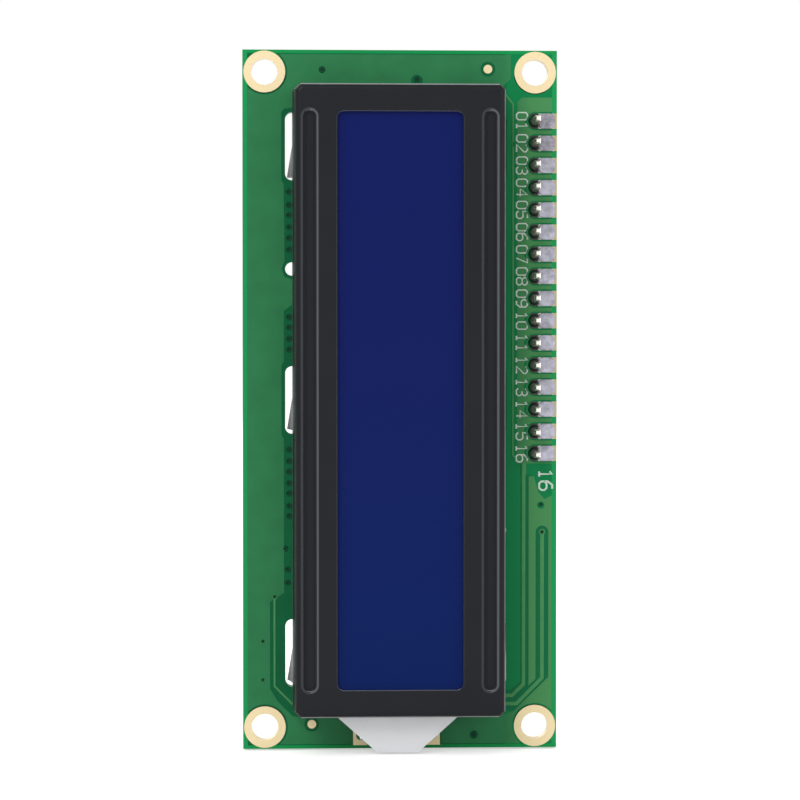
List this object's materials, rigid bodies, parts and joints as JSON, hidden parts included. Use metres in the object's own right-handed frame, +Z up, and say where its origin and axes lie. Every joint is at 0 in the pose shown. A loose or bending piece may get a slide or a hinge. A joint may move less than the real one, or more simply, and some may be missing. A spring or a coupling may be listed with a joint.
{
  "type": "character lcd module",
  "caption": "Character display module: green board, black steel bezel round a dark blue window, and a black serial adapter board with trimmer and jumper on its back.",
  "frame": {"origin": "centre of the mounting hole pattern, on the main board's front face", "axes": "+Z up along the board's long side, with the pin row at the upper right seen from the front; the display faces -Y; +X to the right seen from the front"},
  "size_m": [0.036, 0.0176, 0.0802],
  "materials": {
    "board_green": "green solder mask over glass fibre board",
    "black_steel": "satin black paint",
    "display_blue": "dark blue polarising film",
    "cell_glass": "clear",
    "film_grey": "matt",
    "film_white": "matt white",
    "guide_clear": "clear acrylic",
    "zebra_pink": "matt",
    "lamp_white": "white",
    "lamp_lens": "clear epoxy",
    "tinned": "tin plated",
    "solder": "soldered",
    "pin_gold": "thin gold plating",
    "epoxy_black": "cured epoxy",
    "resistor_black": "black glaze",
    "capacitor_tan": "tan ceramic",
    "header_black": "moulded",
    "chip_black": "moulded",
    "board_black": "black solder mask",
    "trimmer_blue": "moulded",
    "rotor_metal": "plated",
    "cap_black": "moulded"
  },
  "bodies": {
    "module": {"main_board": "board_green", "bezel": "black_steel", "front_polarizer": "display_blue", "front_glass": "cell_glass", "rear_glass": "cell_glass", "rear_polarizer": "film_grey", "diffuser_film": "film_white", "light_guide": "guide_clear", "reflector_film": "film_white", "tail_film": "film_white", "zebra_strip_left": "zebra_pink", "zebra_strip_right": "zebra_pink", "backlight_lamp": "lamp_white", "lamp_leads": "tinned", "lamp_solder": "solder", "small_dome": "epoxy_black", "large_dome": "epoxy_black", "board_resistor": "resistor_black", "board_resistor_caps": "tinned", "small_resistors": "resistor_black", "small_resistor_caps": "tinned", "solder_bridge": "solder", "header_strip": "header_black", "header_pins": "pin_gold", "pad_solder": "solder", "adapter_board": "board_black", "adapter_solder": "solder", "underside_solder": "solder", "expander_chip": "chip_black", "expander_leads": "tinned", "transistor": "chip_black", "transistor_leads": "tinned", "power_lamp_base": "lamp_white", "power_lamp_lens": "lamp_lens", "adapter_resistors": "resistor_black", "adapter_resistor_caps": "tinned", "capacitor": "capacitor_tan", "capacitor_caps": "tinned", "trimmer_body": "trimmer_blue", "trimmer_pins": "tinned", "serial_base": "header_black", "serial_pins": "pin_gold", "jumper_base": "header_black", "jumper_pins": "pin_gold"},
    "rotor": {"trimmer_rotor": "rotor_metal"},
    "jumper": {"jumper_cap": "cap_black", "jumper_contact": "tinned"}
  },
  "joints": [
    {"name": "rotor_turn", "type": "hinge", "parent": "module", "child": "rotor", "pos_m": [0.00878, 0.0098, 0.02422], "axis": [0, 1, 0], "range_deg": [-120, 120]},
    {"name": "jumper_pull", "type": "slide", "parent": "module", "child": "jumper", "axis": [0, 0, -1], "range_m": [0, 0.006]}
  ]
}
